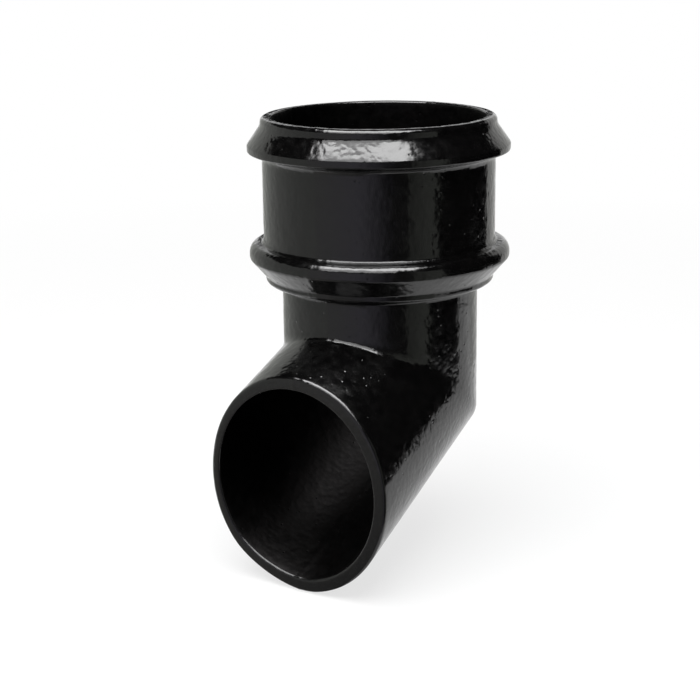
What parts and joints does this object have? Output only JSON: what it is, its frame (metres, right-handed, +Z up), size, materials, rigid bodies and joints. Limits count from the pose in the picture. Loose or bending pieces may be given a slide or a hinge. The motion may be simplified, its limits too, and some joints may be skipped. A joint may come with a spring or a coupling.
{
  "type": "downpipe shoe",
  "caption": "Round cast-iron downpipe shoe: collared and beaded socket on top, mitred bend and slanted spout that throws rainwater clear of the wall.",
  "frame": {"origin": "centre of the socket's seat, where the bore's wall ends and the pipe's end comes to rest", "axes": "+Z up along the socket's axis, out of its mouth; -Y the way the outlet points; X across the shoe's plane of symmetry"},
  "size_m": [0.1112, 0.1239, 0.19],
  "materials": {
    "black_paint": "gloss black paint over as-cast grey iron, with a fine sand-cast grain"
  },
  "bodies": {
    "root": {"downpipe_shoe": "black_paint"}
  },
  "joints": []
}
